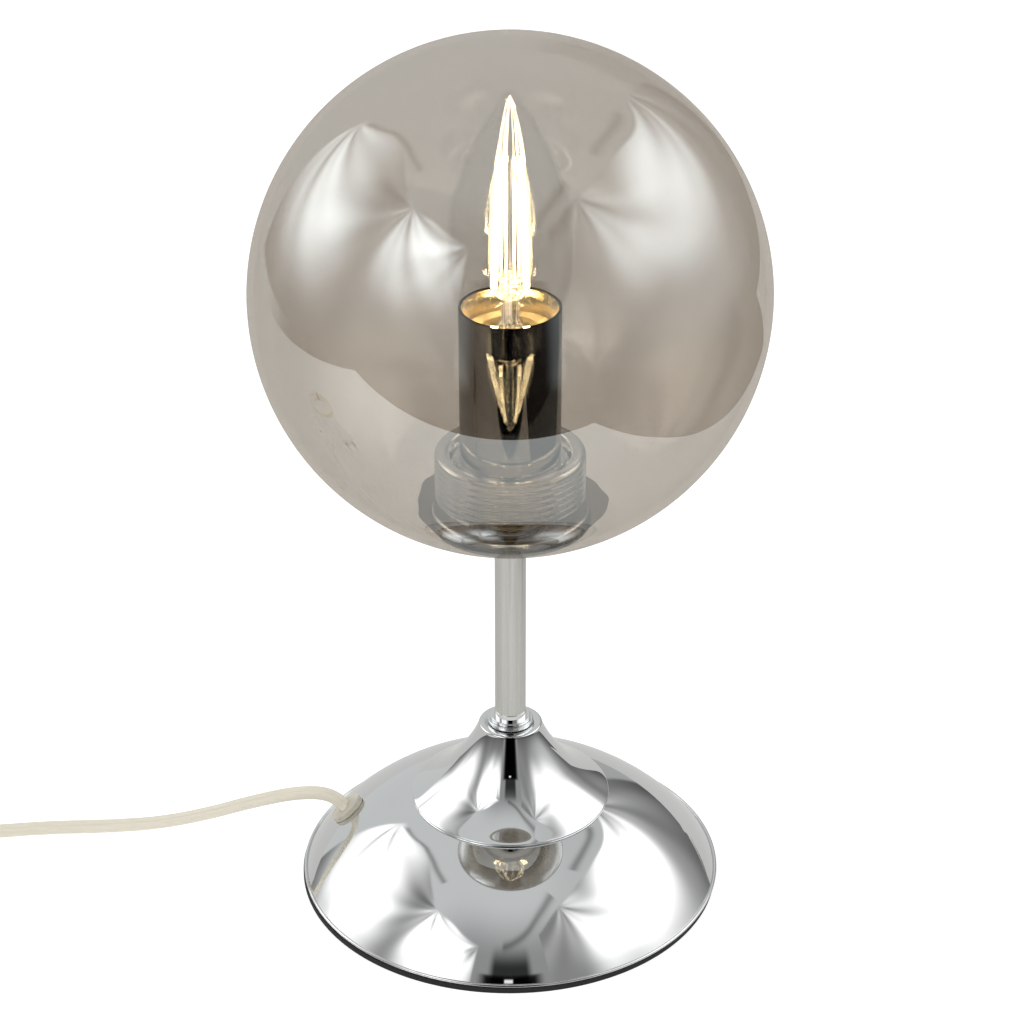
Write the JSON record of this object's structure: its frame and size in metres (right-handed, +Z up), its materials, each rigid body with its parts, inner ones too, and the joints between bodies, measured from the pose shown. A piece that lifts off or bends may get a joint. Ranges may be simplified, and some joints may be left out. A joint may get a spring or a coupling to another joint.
{
  "type": "glass globe table lamp",
  "caption": "Table lamp with a smoked mirror-glass globe over a candle bulb, a slim stem, a flared cone and a chromed dome foot, on a flat twin cord with a switch and a plug.",
  "frame": {"origin": "centre of the underside of the foot's pad, on the surface that the lamp stands on", "axes": "+Z up the stem, the picture's viewer stands at -Y, and the cord leaves towards -X"},
  "size_m": [0.4402, 0.15, 0.2738],
  "materials": {
    "chrome": "mirror-polished chrome plate",
    "stem_metal": "satin nickel",
    "light_metal": "turned, clear",
    "steel": "zinc plated",
    "cast": "raw casting",
    "brass": "bright",
    "smoked_glass": "thin metallised smoke coat, polished",
    "clear_glass": "clear, polished",
    "filament": "yellow phosphor coat, lit",
    "black_foam": "closed-cell foam, matt",
    "seal": "translucent silicone",
    "clear_plastic": "translucent",
    "cream_plastic": "moulded",
    "black_plastic": "moulded",
    "white_plastic": "moulded",
    "cord_jacket": "translucent flat twin cord, glossy",
    "wire_brown": "insulation",
    "wire_blue": "insulation",
    "board": "circuit board",
    "wire_metal": "bright wire"
  },
  "bodies": {
    "root": {"base_pad": "black_foam", "bottom_plate": "steel", "plate_screws": "steel", "base_weight": "cast", "dome_shell": "chrome", "cord_grommet": "clear_plastic", "cord_clamp": "cream_plastic", "flare_cone": "chrome", "collar_washer": "chrome", "stem_ferrule": "chrome", "stem_tube": "stem_metal", "base_threaded_tube": "steel", "base_washer": "steel", "base_nut": "steel", "upper_threaded_tube": "steel", "toothed_washer": "steel", "seat_dish": "chrome", "globe_carrier": "light_metal", "socket_shell": "chrome", "lampholder_base": "cream_plastic", "lampholder_body": "cream_plastic", "thread_contact": "brass", "centre_contact": "brass", "terminal_screws": "brass", "inner_cord": "cord_jacket", "live_wire": "wire_brown", "neutral_wire": "wire_blue", "cord_front": "cord_jacket", "cord_middle": "cord_jacket", "cord_tail": "cord_jacket", "cord_coil": "cord_jacket", "coil_tie": "black_plastic", "switch_base": "white_plastic", "switch_cover": "white_plastic", "switch_pivot": "steel", "switch_contacts": "brass", "switch_screws": "steel", "plug_body": "white_plastic", "plug_pins": "wire_metal", "pin_sleeves": "black_plastic"},
    "gasket": {"globe_gasket": "seal"},
    "glass": {"globe": "smoked_glass"},
    "bulb_contact": {"bulb_button": "brass"},
    "bulb": {"bulb_glass": "clear_glass", "bulb_cap": "brass", "bulb_insulator": "black_plastic", "bulb_mount": "clear_glass", "filaments": "filament", "filament_wires": "wire_metal", "driver_board": "board"},
    "rocker": {"switch_rocker": "white_plastic"}
  },
  "joints": [
    {"name": "globe_lift", "type": "slide", "parent": "root", "child": "gasket", "axis": [0, 0, 1], "range_m": [0, 0.145]},
    {"name": "globe_turn", "type": "hinge", "parent": "gasket", "child": "glass", "pos_m": [0, 0, 0.1987], "axis": [0, 0, 1], "range_deg": [0, 1800]},
    {"name": "bulb_rise", "type": "slide", "parent": "root", "child": "bulb_contact", "axis": [0, 0, 1], "range_m": [0, 0.00847]},
    {"name": "bulb_turn", "type": "hinge", "parent": "bulb_contact", "child": "bulb", "pos_m": [0, 0, 0.165], "axis": [0, 0, 1], "range_deg": [0, 1080]},
    {"name": "rocker_tilt", "type": "hinge", "parent": "root", "child": "rocker", "pos_m": [-0.236, 0.009, 0.0119], "axis": [0, 1, 0], "range_deg": [0, 14]}
  ],
  "couplings": [
    {"joint": "bulb_rise", "follows": "bulb_turn", "m_per_rad": 0.00044882}
  ]
}
